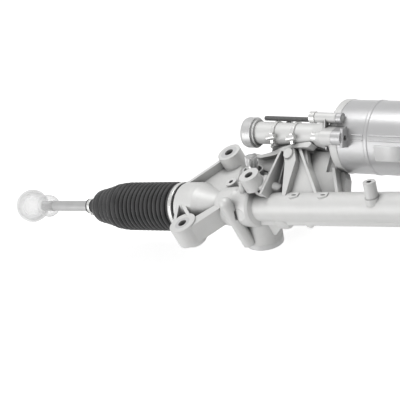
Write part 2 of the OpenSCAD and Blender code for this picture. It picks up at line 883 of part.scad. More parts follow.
module motor_can() {
    r = motor_d / 2;
    end = flange_x + motor_len;
    color("silver") difference() {
        union() {
            worm_frame() difference() {
                union() {
                    turned_x([
                        [0, flange_x], [r, flange_x], [r, 133], [r + 0.8, 134], [r + 0.8, 138],
                        [r, 139], [r, end - 4], [r - 3, end], [0, end]
                    ]);
                    for (a = seam_angles) rotate([a, 0, 0]) translate([0, 0, r]) {
                        bar_x(0.9, 116, 132);
                        bar_x(0.9, 141, end - 6);
                    }
                }
                bar_x(r - 3, flange_x - 1, end - 3);
            }
            ear_frame(wide_ear_angle) {
                wide_ear(flange_x, end_plate_x);
                translate([end_plate_x - 1, -12.5, -2]) cube([4, 25, 16]);
            }
            for (a = [top_ear_angle, back_ear_angle]) ear_frame(a) translate([0, 0, ear_z])
                bar_x(7, flange_x + 0.4, flange_x + 8);
        }
        ear_holes();
    }
}

module stator() {
    color("chocolate") worm_frame() ring_x(motor_d / 2 - 3, 27, flange_x + 16, flange_x + motor_len - 20);
}

module motor_rotor() {
    color("dimgray") worm_frame() {
        bar_x(shaft_r, 78, flange_x + motor_len - 6);
        bar_x(26, flange_x + 18, flange_x + motor_len - 22);
    }
}

module shaft_coupling() {
    color("black") worm_frame() ring_x(10.5, shaft_r, 52, 84);
}

module control_unit() {
    end = flange_x + motor_len;
    color("dimgray") worm_frame() union() {
        bar_x(motor_d / 2 + 1, end, end + 8);
        translate([end + 8, -motor_d / 2 + 4, -motor_d / 2 + 6]) cube([control_len - 8, motor_d - 8, motor_d - 6]);
    }
}

module connectors() {
    end = flange_x + motor_len;
    color("black") worm_frame() {
        for (p = [[-22, 30], [14, 22]]) translate([end + 12, p[0], motor_d / 2]) difference() {
            cube([26, p[1], 24]);
            translate([2.5, 2.5, 6]) cube([21, p[1] - 5, 19]);
        }
    }
}

// The bolts that clamp the motor to its flange, heads to the left
module flange_bolts() {
    color("silver") {
        ear_frame(wide_ear_angle) translate([0, 0, ear_hole_z]) {
            bar_x(6.5, 63, 70);
            bar_x(bolt_r, 70, flange_x + 11);
        }
        ear_frame(top_ear_angle) translate([0, 0, ear_z]) {
            bar_x(8, 54, 62);
            bar_x(bolt_r, 62, flange_x + 8);
        }
        ear_frame(back_ear_angle) translate([0, 0, ear_z]) {
            bar_x(7, 70, 78);
            bar_x(bolt_r, 78, flange_x + 8);
        }
    }
}

module conduit() {
    color("gray") worm_frame() translate([0, 19.1, 8.4]) bar_x(3.4, -50, 45);
}

module band_clamps() {
    color("silver") worm_frame() for (x = clamp_x) difference() {
        union() {
            ring_x(worm_tube_d / 2 + 1.6, worm_tube_d / 2, x, x + 5);
            rotate([clamp_angle, 0, 0]) translate([x + 0.4, -9, worm_tube_d / 2 + 0.4]) cube([4.2, 15, 3]);
            clamp_screw(x);
        }
        translate([0, 0, -worm_centre]) bar_y(case_r + run_gap, -40, 40);
    }
}

// The screw that draws a clamp tight, with a socket in its left end
module clamp_screw(x) {
    rotate([clamp_angle, 0, 0]) translate([x + 2.5, 0, worm_tube_d / 2 + clamp_screw_r + 0.6]) rotate([0, 0, 12.5])
        difference() {
            bar_x(clamp_screw_r, -6, 7);
            bar_x(2, -6.5, -3);
        }
}

module drive_screws() {
    color("silver") drive_frame() wheel_lugs(4, wheel_y + 17, wheel_y + 21);
}

// Outline points of a boot's outer face, [radius, u], from the large end outwards
main_start = barrel_u + seat_neck_len + 2;
taper_start = main_start + boot_folds * boot_pitch;
boot_shoulder_u = boot_end_u - 27;
taper_pitch = (boot_shoulder_u - taper_start) / boot_taper_folds;
function taper_r(i) = boot_d / 2 - 2.2 - 6 * i / (boot_taper_folds - 1);

module boot_skin(inset) {
    r = boot_d / 2 - inset;
    turned_x(concat(
        [[0, barrel_u + 1], [seat_neck_r + 2.4 - inset * 1.33, barrel_u + 1], [seat_neck_r + 2.4 - inset * 1.33, main_start - 2]],
        [for (i = [0:boot_folds - 1]) for (p = [[0, 0.1], [0, 0.35], [boot_depth, 0.65], [boot_depth, 0.8]])
            [r - p[0], main_start + (i + p[1]) * boot_pitch]],
        [for (i = [0:boot_taper_folds - 1]) for (p = [[0, 0.2], [0, 0.4], [3.4, 0.75], [3.4, 0.9]])
            [taper_r(i) - p[0] - inset, taper_start + (i + p[1]) * taper_pitch]],
        [[taper_r(boot_taper_folds - 1) - 1.5 - inset, boot_shoulder_u + 3], [18 - inset, boot_shoulder_u + 11]],
        [[rod_d / 2 + 2.6 - inset, boot_end_u - 13], [rod_d / 2 + 2.6 - inset, boot_end_u], [0, boot_end_u]]
    ));
}

module boot(side) {
    color("black") at_end(side) difference() {
        boot_skin(0);
        boot_skin(boot_wall);
        bar_x(seat_neck_r, barrel_u, barrel_u + seat_neck_len + 1);
        bar_x(rod_d / 2 + run_gap, boot_end_u - 40, boot_end_u + 1);
    }
}

module boot_left() { boot(-1); }
module boot_right() { boot(1); }

module boot_clamps() {
    color("silver") for (s = [-1, 1]) at_end(s)
        ring_x(seat_neck_r + 2.4 + boot_clamp_t, seat_neck_r + 2.4, barrel_u + 3, barrel_u + 10);
}

module small_clamp(side) {
    color("silver") at_end(side)
        ring_x(rod_d / 2 + 2.6 + run_gap + 1.2, rod_d / 2 + 2.6 + run_gap, boot_end_u - 9, boot_end_u - 3);
}

module small_clamp_left() { small_clamp(-1); }
module small_clamp_right() { small_clamp(1); }

// The cup that holds the inner ball, screwed into the end of the rack
module ball_socket(side) {
    color("silver") at_end(side) translate([ball_u, 0, 0]) difference() {
        union() {
            turned_x([[0, -socket_back], [socket_d / 2 - 2, -socket_back], [socket_d / 2, -socket_back + 2],
                [socket_d / 2, 6], [socket_d / 2 - 2, socket_front], [0, socket_front]]);
            bar_x(7, -socket_back - 16, -socket_back);
        }
        sphere(r = seat_r + fit);
        turned_x([[0, 0], [26 * tan(mouth_angle), 26], [0, 26]]);
    }
}

module ball_socket_left() { ball_socket(-1); }
module ball_socket_right() { ball_socket(1); }

// The seat that turns with the ball in one plane and lets the rod swing in the other
module ball_seat(side) {
    color("ivory") at_end(side) translate([ball_u, 0, 0]) difference() {
        sphere(r = seat_r);
        sphere(r = ball_d / 2 + fit);
        turned_x([[0, 0], [26 * tan(mouth_angle + 4), 26], [0, 26]]);
    }
}

module ball_seat_left() { ball_seat(-1); }
module ball_seat_right() { ball_seat(1); }

module tie_rod(side) {
    color("silver") at_end(side) translate([ball_u, 0, 0]) {
        sphere(r = ball_d / 2);
        turned_x([[0, 8], [neck_r, 8], [neck_r, 24], [rod_d / 2, 34], [rod_d / 2, rod_len - thread_len - 4],
            [thread_d / 2, rod_len - thread_len], [thread_d / 2, rod_len - 1.5], [thread_d / 2 - 1.5, rod_len], [0, rod_len]]);
    }
}

module tie_rod_left() { tie_rod(-1); }
module tie_rod_right() { tie_rod(1); }

// The protective cap pushed over the tie rod's thread
module thread_cap(side) {
    ball_c = rod_len + 26;
    collar_c = rod_len - 13;
    color([1, 1, 1, 0.5]) at_end(side) translate([ball_u, 0, 0]) difference() {
        union() {
            translate([ball_c, 0, 0]) sphere(r = cap_d / 2);
            translate([collar_c, 0, 0]) sphere(r = cap_collar_d / 2);
        }
        translate([ball_c, 0, 0]) sphere(r = cap_d / 2 - 2.5);
        bar_x(thread_d / 2 + fit, rod_len - 40, rod_len + 12);
    }
}

module thread_cap_left() { thread_cap(-1); }
module thread_cap_right() { thread_cap(1); }

placed() {
    rack_housing();
    pinion_cap();
    lower_bearing();
    upper_bearing();
    input_seal();
    torque_sensor();
    yoke();
    yoke_spring();
    yoke_plug();
    rack_bushes();
    sensor_cover();
    drive_housing();
    wheel_cover();
    worm_end_cap();
    worm_bearings();
    drive_bearings();
    vent_plug();
    drive_screws();
    motor_flange();
    motor_can();
    stator();
    control_unit();
    connectors();
    flange_bolts();
    conduit();
    band_clamps();
    boot_left();
    boot_right();
    boot_clamps();
    rack_bar();
    ball_socket_left();
    ball_socket_right();
    ball_seat_left();
    ball_seat_right();
    tie_rod_left();
    tie_rod_right();
    small_clamp_left();
    small_clamp_right();
    thread_cap_left();
    thread_cap_right();
    steering_pinion();
    input_shaft();
    torsion_bar();
    drive_pinion();
    worm_wheel();
    worm_shaft();
    shaft_coupling();
    motor_rotor();
}
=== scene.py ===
# Electric power steering gear: an aluminium rack housing with a geared motor,
# rubber bellows at both ends and steel tie rods under milky protective caps.

import json
import math

import bmesh
import bpy
from mathutils import Matrix, Vector


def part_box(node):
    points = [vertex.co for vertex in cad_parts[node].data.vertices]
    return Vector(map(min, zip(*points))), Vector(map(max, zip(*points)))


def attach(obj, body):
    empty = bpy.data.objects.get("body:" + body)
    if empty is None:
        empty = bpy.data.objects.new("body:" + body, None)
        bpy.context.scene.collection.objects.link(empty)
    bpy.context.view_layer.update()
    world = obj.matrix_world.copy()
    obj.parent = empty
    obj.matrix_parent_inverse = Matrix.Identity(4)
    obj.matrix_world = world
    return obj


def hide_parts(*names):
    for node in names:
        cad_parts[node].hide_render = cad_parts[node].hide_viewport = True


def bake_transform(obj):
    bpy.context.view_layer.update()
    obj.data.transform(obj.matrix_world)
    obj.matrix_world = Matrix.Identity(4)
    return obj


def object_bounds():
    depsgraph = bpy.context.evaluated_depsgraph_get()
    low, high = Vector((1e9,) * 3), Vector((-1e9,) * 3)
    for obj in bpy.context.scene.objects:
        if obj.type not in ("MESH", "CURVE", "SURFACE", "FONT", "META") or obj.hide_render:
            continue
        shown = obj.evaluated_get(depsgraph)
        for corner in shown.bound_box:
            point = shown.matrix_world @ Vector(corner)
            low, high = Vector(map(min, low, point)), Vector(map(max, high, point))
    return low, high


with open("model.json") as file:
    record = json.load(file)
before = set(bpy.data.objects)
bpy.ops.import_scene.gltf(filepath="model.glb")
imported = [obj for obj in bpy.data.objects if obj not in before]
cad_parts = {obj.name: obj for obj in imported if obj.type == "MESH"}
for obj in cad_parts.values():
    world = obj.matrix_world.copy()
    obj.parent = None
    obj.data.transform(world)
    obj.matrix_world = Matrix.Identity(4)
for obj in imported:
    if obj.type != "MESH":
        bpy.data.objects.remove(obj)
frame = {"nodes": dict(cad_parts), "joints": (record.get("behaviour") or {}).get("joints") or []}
cad_low, cad_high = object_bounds()
nodes = frame["nodes"]
joints = {joint["name"]: joint for joint in frame["joints"]}


# Rack housing
# One long die casting in aluminium: tube, barrel ends, lugs, posts and the ribbed bracket.
# It comes from the die with a fine grain, and its bolting faces are milled bright afterwards.
def new_group(name, inputs, outputs):
    """A shader node group with inputs {label: default} and outputs {label: kind}, and its two ends."""
    group = bpy.data.node_groups.new(name, "ShaderNodeTree")
    for label, default in inputs.items():
        kind = "Vector" if isinstance(default, tuple) else "Float"
        socket = group.interface.new_socket(label, in_out="INPUT", socket_type=f"NodeSocket{kind}")
        socket.default_value = default
    for label, kind in outputs.items():
        group.interface.new_socket(label, in_out="OUTPUT", socket_type=f"NodeSocket{kind}")
    return group, group.nodes.new("NodeGroupInput").outputs, group.nodes.new("NodeGroupOutput").inputs


def add(tree, kind, links=None, **settings):
    """Adds a shader node, sets its properties and joins its inputs to values or to other sockets."""
    node = tree.nodes.new(kind)
    for label, value in settings.items():
        setattr(node, label, value)
    for label, value in (links or {}).items():
        if isinstance(value, bpy.types.NodeSocket):
            tree.links.new(value, node.inputs[label])
        else:
            node.inputs[label].default_value = value
    return node


def reckon(tree, operation, *values):
    """The result of a Math node."""
    return add(tree, "ShaderNodeMath", dict(enumerate(values)), operation=operation).outputs["Value"]


def reckon_vector(tree, operation, *vectors, gives="Vector"):
    """The result of a Vector Math node: a vector, or a number where gives is Value."""
    return add(tree, "ShaderNodeVectorMath", dict(enumerate(vectors)), operation=operation).outputs[gives]


def remap(tree, value, low, high, start=0.0, end=1.0):
    """Takes the range from start to end to the range from low to high."""
    links = {"Value": value, "From Min": start, "From Max": end, "To Min": low, "To Max": high}
    return add(tree, "ShaderNodeMapRange", links).outputs["Result"]


def on_piece(tree):
    """The place on the piece, in metres from the gear's origin."""
    return add(tree, "ShaderNodeTexCoord").outputs["Object"]


def noise(tree, place, scale, detail, roughness=0.5):
    """Cloudy noise from 0 to 1."""
    links = {"Vector": place, "Scale": scale, "Detail": detail, "Roughness": roughness}
    return add(tree, "ShaderNodeTexNoise", links).outputs["Fac"]


def mix_colour(tree, share, first, second):
    """A colour mix: first where share is 0 and second where it is 1."""
    node = tree.nodes.new("ShaderNodeMix")
    node.data_type = "RGBA"
    tree.links.new(share, node.inputs[0])
    for socket, colour in ((node.inputs[6], first), (node.inputs[7], second)):
        if isinstance(colour, bpy.types.NodeSocket):
            tree.links.new(colour, socket)
        else:
            socket.default_value = (*colour, 1)
    return node.outputs[2]


# Cast skin: cloudy tone, a fine orange-peel grain and painted shade that darkens the corners
cast_skin, skin_in, skin_out = new_group(
    "cast_skin",
    {"Grain": 900.0, "Clouds": 38.0, "Corner": 0.036, "Edge": 0.0012, "Peel": 0.25},
    {"Tone": "Float", "Corner_Shade": "Float", "Normal": "Vector"},
)
skin_place = on_piece(cast_skin)
clouds = noise(cast_skin, skin_place, skin_in["Clouds"], 5.0, 0.6)
grain = noise(cast_skin, skin_place, skin_in["Grain"], 3.0, 0.7)
# Painted shade: the occlusion value becomes a mask that darkens corners and recesses
hollow = add(cast_skin, "ShaderNodeAmbientOcclusion", {"Distance": skin_in["Corner"]}, samples=8)
deep_corner, open_face = 0.15, 0.82
corner_shade = remap(cast_skin, hollow.outputs["AO"], 1.0, 0.0, deep_corner, open_face)
soft_edge = add(cast_skin, "ShaderNodeBevel", {"Radius": skin_in["Edge"]}, samples=4)
peel_height = 0.0003
peel = add(cast_skin, "ShaderNodeBump",
           {"Strength": skin_in["Peel"], "Distance": peel_height, "Height": grain,
            "Normal": soft_edge.outputs["Normal"]})
cast_skin.links.new(clouds, skin_out["Tone"])
cast_skin.links.new(corner_shade, skin_out["Corner_Shade"])
cast_skin.links.new(peel.outputs["Normal"], skin_out["Normal"])

# Milled face: 1 on a flat face that lies round a centre and looks along an axis, 0 elsewhere
milled_face, face_in, face_out = new_group(
    "milled_face",
    {"Centre": (0.0, 0.0, 0.0), "Axis": (0.0, 0.0, 1.0), "Radius": 0.01},
    {"Mask": "Float"},
)
flat_enough = 0.98
face_reach = reckon_vector(milled_face, "DISTANCE", on_piece(milled_face), face_in["Centre"], gives="Value")
near = reckon(milled_face, "LESS_THAN", face_reach, face_in["Radius"])
face_normal = add(milled_face, "ShaderNodeNewGeometry").outputs["True Normal"]
face_look = reckon_vector(milled_face, "DOT_PRODUCT", face_normal, face_in["Axis"], gives="Value")
facing = reckon(milled_face, "GREATER_THAN", face_look, flat_enough)
milled_face.links.new(reckon(milled_face, "MULTIPLY", near, facing), face_out["Mask"])

# Slit: 1 inside a small ellipsoid, for the dark slits punched in the staking pads
dark_slit, slit_in, slit_out = new_group(
    "dark_slit",
    {"Centre": (0.0, 0.0, 0.0), "Stretch": (1.0, 1.0, 1.0)},
    {"Mask": "Float"},
)
slit_core, slit_rim = 0.8, 1.1
slit_offset = reckon_vector(dark_slit, "SUBTRACT", on_piece(dark_slit), slit_in["Centre"])
slit_scaled = reckon_vector(dark_slit, "MULTIPLY", slit_offset, slit_in["Stretch"])
slit_reach = reckon_vector(dark_slit, "LENGTH", slit_scaled, gives="Value")
dark_slit.links.new(remap(dark_slit, slit_reach, 1.0, 0.0, slit_core, slit_rim), slit_out["Mask"])


def new_material(name):
    """An empty procedural material with its Principled shader wired to the output."""
    material = bpy.data.materials.new(name)
    material.use_nodes = True
    tree = material.node_tree
    tree.nodes.clear()
    shader = tree.nodes.new("ShaderNodeBsdfPrincipled")
    output = tree.nodes.new("ShaderNodeOutputMaterial")
    tree.links.new(shader.outputs["BSDF"], output.inputs["Surface"])
    return material, tree, shader


def place_group(tree, group, **values):
    """Puts a node group in a material with its own values."""
    node = tree.nodes.new("ShaderNodeGroup")
    node.node_tree = group
    for label, value in values.items():
        node.inputs[label].default_value = value
    return node.outputs


def dress(material, *names):
    """Gives CAD nodes a material in place of their plain one."""
    for name in names:
        nodes[name].data.materials.clear()
        nodes[name].data.materials.append(material)


def cast_metal(name, light, dark, corner_shade, rough, metallic, peel, milled=(), slits=()):
    """A cast or drawn skin with painted shade in its corners, milled faces (centre, radius) and the centres
    of slits.
    """
    material, tree, shader = new_material(name)
    skin = place_group(tree, cast_skin, Peel=peel)
    tone = mix_colour(tree, skin["Tone"], dark, light)
    # Painted shade: the dark corner colour is mixed in where the corners are occluded
    colour = mix_colour(tree, skin["Corner_Shade"], tone, corner_shade)
    smoothest, roughest = rough - 0.06, rough + 0.06
    roughness = remap(tree, skin["Tone"], smoothest, roughest)
    milled_grey, milled_gloss = (0.66, 0.66, 0.66), 0.14
    for centre, radius in milled:
        mask = place_group(tree, milled_face, Centre=centre, Radius=radius)["Mask"]
        colour = mix_colour(tree, mask, colour, milled_grey)
        roughness = reckon(tree, "SUBTRACT", roughness, reckon(tree, "MULTIPLY", mask, milled_gloss))
    slit_black, slit_stretch = (0.05, 0.05, 0.05), (220.0, 800.0, 300.0)
    for centre in slits:
        mask = place_group(tree, dark_slit, Centre=centre, Stretch=slit_stretch)["Mask"]
        colour = mix_colour(tree, mask, colour, slit_black)
    tree.links.new(colour, shader.inputs["Base Color"])
    tree.links.new(roughness, shader.inputs["Roughness"])
    tree.links.new(skin["Normal"], shader.inputs["Normal"])
    shader.inputs["Metallic"].default_value = metallic
    return material


middle_x = (cad_low.x + cad_high.x) / 2
front_lug = ((0.000, 0.000, 0.015), 0.0115)
rear_boss = ((0.011, 0.130, 0.033), 0.0125)
tower_ear = ((0.081, 0.079, 0.035), 0.0105)
left_faces = [front_lug, rear_boss]
right_faces = [((2 * middle_x - x, y, z), radius) for (x, y, z), radius in left_faces]
staking_slits = [(0.169, 0.056, 0.0166), (0.219, 0.056, 0.0166)]
# The dark grey (0.16) is painted shade for the occluded corners
cast_aluminium = cast_metal("cast_aluminium", (0.84, 0.84, 0.83), (0.74, 0.74, 0.73), (0.16, 0.16, 0.16),
                            0.48, 0.15, 0.25, left_faces + right_faces + [tower_ear], staking_slits)
dress(cast_aluminium, "rack_housing", "drive_housing", "motor_flange", "sensor_cover", "yoke_plug")


# Turned covers
# The cap under the pinion, the worm tube's end cap and the wheel cover are turned or pressed,
# so they are smoother than the casting and show fine rings from the tool.
def turned_metal(name, colour, rough, metallic, axis):
    """Machined metal whose faint rings run round an axis through the piece."""
    material, tree, shader = new_material(name)
    place = on_piece(tree)
    stain = noise(tree, place, 60.0, 4.0)
    darkest, lightest = 0.88, 1.06
    smoothest, roughest = rough - 0.08, rough + 0.1
    ring_turn = 1400.0
    ring_strength, ring_height = 0.06, 0.0001
    along_axis = reckon_vector(tree, "DOT_PRODUCT", place, tuple(axis), gives="Value")
    rings = reckon(tree, "SINE", reckon(tree, "MULTIPLY", along_axis, ring_turn))
    paint = reckon_vector(tree, "MULTIPLY", colour, remap(tree, stain, darkest, lightest))
    relief = add(tree, "ShaderNodeBump",
                 {"Strength": ring_strength, "Distance": ring_height, "Height": rings})
    tree.links.new(paint, shader.inputs["Base Color"])
    tree.links.new(remap(tree, stain, smoothest, roughest), shader.inputs["Roughness"])
    tree.links.new(relief.outputs["Normal"], shader.inputs["Normal"])
    shader.inputs["Metallic"].default_value = metallic
    return material


worm_axis = Vector(joints["worm_turn"]["axis"])
rack_axis = Vector((1, 0, 0))
turned_cover = turned_metal("turned_cover", (0.62, 0.62, 0.62), 0.34, 0.35, worm_axis)
dress(turned_cover, "worm_end_cap", "wheel_cover", "pinion_cap")

# Bright steel
# The rack bar, shafts, pinions and bearings are ground steel, oiled and left uncoated,
# and the ball sockets and the yoke are turned from bar.
bright_steel = turned_metal("bright_steel", (0.62, 0.62, 0.62), 0.28, 0.9, rack_axis)
dress(bright_steel, "rack_bar", "input_shaft", "torsion_bar", "steering_pinion", "drive_pinion",
      "worm_shaft", "ball_socket_left", "ball_socket_right", "yoke", "motor_rotor")
dress(bright_steel, "lower_bearing", "upper_bearing", "worm_bearings", "drive_bearings")


# Inner plastics and windings
# Bushes, ball seats, the sensor ring and the worm wheel are moulded in off-white nylon.
# The stator is dark iron, and the control unit and its connectors are moulded in black plastic.
def moulded(name, colour, rough):
    """Moulded plastic or rubber with a faint texture from the tool."""
    material, tree, shader = new_material(name)
    specks = noise(tree, on_piece(tree), 420.0, 3.0)
    darkest, lightest = 0.86, 1.1
    smoothest, roughest = rough - 0.07, rough + 0.07
    speck_strength, speck_height = 0.15, 0.0002
    paint = reckon_vector(tree, "MULTIPLY", colour, remap(tree, specks, darkest, lightest))
    relief = add(tree, "ShaderNodeBump",
                 {"Strength": speck_strength, "Distance": speck_height, "Height": specks})
    tree.links.new(paint, shader.inputs["Base Color"])
    tree.links.new(remap(tree, specks, smoothest, roughest), shader.inputs["Roughness"])
    tree.links.new(relief.outputs["Normal"], shader.inputs["Normal"])
    return material


nylon = moulded("nylon", (0.8, 0.78, 0.7), 0.5)
dress(nylon, "rack_bushes", "ball_seat_left", "ball_seat_right", "worm_wheel", "torque_sensor")
dark_iron = moulded("dark_iron", (0.24, 0.22, 0.2), 0.6)
dress(dark_iron, "stator")
black_plastic = moulded("black_plastic", (0.05, 0.05, 0.052), 0.45)
dress(black_plastic, "control_unit", "connectors")

# Motor can
# A deep-drawn steel can with a satin zinc coat. It is drawn smooth, so it has less grain
# than the castings, and it is bolted to the worm housing by its flange.
# The dark grey (0.24) is painted shade for the occluded corners
zinc_coat = cast_metal("zinc_coat", (0.60, 0.60, 0.605), (0.53, 0.53, 0.535), (0.24, 0.24, 0.24),
                       0.32, 0.30, 0.05)
dress(zinc_coat, "motor_can")

# Label plate
# A thin white label is stuck round the can's front, between its top and its middle.
# It is left bare.
drive_axis = Vector(joints["drive_turn"]["axis"])
worm_start = Vector(joints["worm_turn"]["pos_m"])
worm_up = worm_axis.cross(drive_axis).normalized()
label_start, label_end = 0.148, 0.196
label_top, label_bottom = math.radians(46), math.radians(72)
label_radius, label_thickness = 0.0497, 0.0001


def finish_piece(name, mesh, smooth=True):
    """Turns a bmesh into an object at the origin, with smooth shading."""
    data = bpy.data.meshes.new(name)
    mesh.to_mesh(data)
    mesh.free()
    if smooth:
        data.shade_smooth()
    piece = bpy.data.objects.new(name, data)
    bpy.context.scene.collection.objects.link(piece)
    return piece


label_mesh = bmesh.new()
label_out = math.cos(label_top) * worm_up - math.sin(label_top) * drive_axis
label_ends = []
for length in (label_start, label_end):
    label_ends.append(label_mesh.verts.new(worm_start + length * worm_axis + label_radius * label_out))
label_edge = label_mesh.edges.new(label_ends)
bmesh.ops.spin(label_mesh, geom=label_ends + [label_edge], cent=worm_start, axis=worm_axis,
               angle=label_bottom - label_top, steps=16)
bmesh.ops.recalc_face_normals(label_mesh, faces=label_mesh.faces)
bmesh.ops.solidify(label_mesh, geom=list(label_mesh.faces), thickness=label_thickness)
bmesh.ops.recalc_face_normals(label_mesh, faces=label_mesh.faces)
label_paper, label_tree, label_shader = new_material("label_paper")
paper_scale = 10000.0
label_grain = noise(label_tree, on_piece(label_tree), paper_scale, 2.0)
label_tree.links.new(remap(label_tree, label_grain, 0.3, 0.45), label_shader.inputs["Roughness"])
label_shader.inputs["Base Color"].default_value = (0.94, 0.94, 0.94, 1)
label = finish_piece("label_plate", label_mesh)
label.data.materials.append(label_paper)
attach(label, "housing")

# Fasteners and clamps
# Screws, bolts, the vent plug and the bands are stamped or headed from steel
# and plated with bright zinc, and so is the yoke's coiled spring.
bright_zinc = turned_metal("bright_zinc", (0.70, 0.70, 0.69), 0.28, 0.55, rack_axis)
dress(bright_zinc, "flange_bolts", "drive_screws", "vent_plug", "band_clamps", "boot_clamps",
      "small_clamp_left", "small_clamp_right", "yoke_spring")

# Seals and coupling
# The lip seal round the input shaft and the star between motor and worm
# are moulded in black rubber with a slight sheen.
black_rubber = moulded("black_rubber", (0.022, 0.022, 0.023), 0.38)
dress(black_rubber, "input_seal", "shaft_coupling")


# Cable sleeve
# A grey corrugated plastic sleeve, blown in one length with a rib every 2.4 mm.
# It is clipped along the back of the worm tube.
def turn_round(mesh, points, centre, axis, steps, closed=False):
    """Joins points in a row, or in a ring where closed, and turns them once round an axis."""
    weld = 1e-6
    row = [mesh.verts.new(point) for point in points]
    nexts = row[1:] + row[:1] if closed else row[1:]
    edges = [mesh.edges.new(pair) for pair in zip(row, nexts)]
    bmesh.ops.spin(mesh, geom=row + edges, cent=centre, axis=axis, angle=math.tau, steps=steps,
                   use_merge=True)
    bmesh.ops.remove_doubles(mesh, verts=mesh.verts, dist=weld)
    bmesh.ops.recalc_face_normals(mesh, faces=mesh.faces)


grey_sleeve = moulded("grey_sleeve", (0.16, 0.16, 0.16), 0.5)
sleeve_behind, sleeve_above = 0.0191, 0.0084
sleeve_low, sleeve_high, sleeve_steps = -0.050, 0.045, 24
sleeve_middle = worm_start + sleeve_behind * drive_axis + sleeve_above * worm_up
rib_count, groove_radius, rib_radius = 40, 0.0027, 0.0034
rib_pitch = (sleeve_high - sleeve_low) / rib_count
rib_outline = ((0.0, groove_radius), (0.2, groove_radius), (0.35, rib_radius), (0.8, rib_radius),
               (0.95, groove_radius))
sleeve_profile = [(sleeve_low, 0.0)]
for rib in range(rib_count):
    for share, radius in rib_outline:
        sleeve_profile.append((sleeve_low + (rib + share) * rib_pitch, radius))
sleeve_profile += [(sleeve_high, groove_radius), (sleeve_high, 0.0)]
sleeve_points = [sleeve_middle + length * worm_axis + radius * worm_up for length, radius in sleeve_profile]
sleeve_mesh = bmesh.new()
turn_round(sleeve_mesh, sleeve_points, sleeve_middle, worm_axis, sleeve_steps)
sleeve = finish_piece("corrugated_sleeve", sleeve_mesh)
sleeve.data.materials.append(grey_sleeve)
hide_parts("conduit")
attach(sleeve, "housing")

# Tie rods
# Steel bars with a necked ball end, forged and then turned.
# The outer end carries a rolled M16 thread, shown as a relief beyond thread_start.
thread_pitch, thread_start, thread_depth = 0.0015, 0.566, 0.0004
steel_rod = turned_metal("steel_rod", (0.50, 0.50, 0.50), 0.32, 0.5, rack_axis)
rod_tree = steel_rod.node_tree
rod_x = add(rod_tree, "ShaderNodeSeparateXYZ", {"Vector": on_piece(rod_tree)}).outputs["X"]
rod_out = reckon(rod_tree, "ABSOLUTE", reckon(rod_tree, "SUBTRACT", rod_x, middle_x))
threaded = reckon(rod_tree, "GREATER_THAN", rod_out, thread_start)
thread_wave = reckon(rod_tree, "SINE", reckon(rod_tree, "MULTIPLY", rod_x, math.tau / thread_pitch))
thread_height = reckon(rod_tree, "MULTIPLY", thread_wave, threaded)
thread_relief = add(rod_tree, "ShaderNodeBump",
                    {"Strength": 0.8, "Distance": thread_depth, "Height": thread_height})
rod_tree.links.new(thread_relief.outputs["Normal"], rod_tree.nodes["Bump"].inputs["Normal"])
dress(steel_rod, "tie_rod_left", "tie_rod_right")


# Thread caps
# Soft milky plastic caps, a hollow ball and a dome, pushed over the threads for transport.
# Light passes through them, so the rod's end shows as a grey shadow inside.
def milky_plastic(name):
    """Thin hazy polythene: more solid where the wall is seen at a slant, clearer where it faces the eye."""
    material, tree, shader = new_material(name)
    haze = noise(tree, on_piece(tree), 60.0, 3.0)
    slant = add(tree, "ShaderNodeLayerWeight", {"Blend": 0.35}).outputs["Facing"]
    thinnest, thickest = 0.16, 0.8
    wall = remap(tree, slant, thinnest, thickest)
    alpha = reckon(tree, "MULTIPLY", wall, remap(tree, haze, 0.94, 1.04))
    tree.links.new(alpha, shader.inputs["Alpha"])
    tree.links.new(remap(tree, haze, 0.22, 0.4), shader.inputs["Roughness"])
    shader.inputs["Base Color"].default_value = (0.93, 0.93, 0.93, 1)
    return material


milk = milky_plastic("milky_plastic")
dress(milk, "thread_cap_left", "thread_cap_right")

# Boots
# Black moulded rubber bellows: twelve full folds, then small folds that taper to the tie rod.
# The large end is clamped on the housing and the small end grips the rod.
boot_low, boot_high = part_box("boot_left")
rack_y = (boot_low.y + boot_high.y) / 2
rack_z = (boot_low.z + boot_high.z) / 2
rack_middle = Vector((middle_x, rack_y, rack_z))
round_steps = 96

# Distances from the middle of the gear: the boot's parts, and the cuts between its pieces
boot_start, lip_end, folds_end = 0.272, 0.289, 0.393
taper_end, collar_end, boot_end = 0.4465, 0.4660, 0.482
slide_end, lift_end, blend_overlap = 0.395, 0.422, 0.001
fold_crest, fold_depth, fold_count = 0.0358, 0.0060, 12
small_folds = ((0.0352, 0.0052), (0.0339, 0.0046), (0.0310, 0.0036), (0.0286, 0.0030), (0.0266, 0.0022))
boot_wall, rod_grip = 0.0018, 0.0086


def along(side, u):
    """The point on the rack's axis at distance u from the middle of the gear."""
    return (middle_x + side * u, rack_y, rack_z)


def turn_round_rack(mesh, side, profile):
    """Turns a closed outline of [u, radius] points about the rack's axis."""
    points = [Vector(along(side, u)) + Vector((0, 0, radius)) for u, radius in profile]
    turn_round(mesh, points, rack_middle, rack_axis, round_steps, closed=True)


def fold_points(start, pitch, crest, depth):
    """One fold of the bellows: a round crest that drops into a narrow valley, as [u, radius] points."""
    points = []
    for turn in (-1.0, -0.93, -0.8, -0.6, -0.3, 0.0, 0.3, 0.6, 0.8, 0.93):
        points.append((start + pitch * (turn + 1) / 2, crest - depth * (1 - math.sqrt(1 - turn * turn))))
    return points


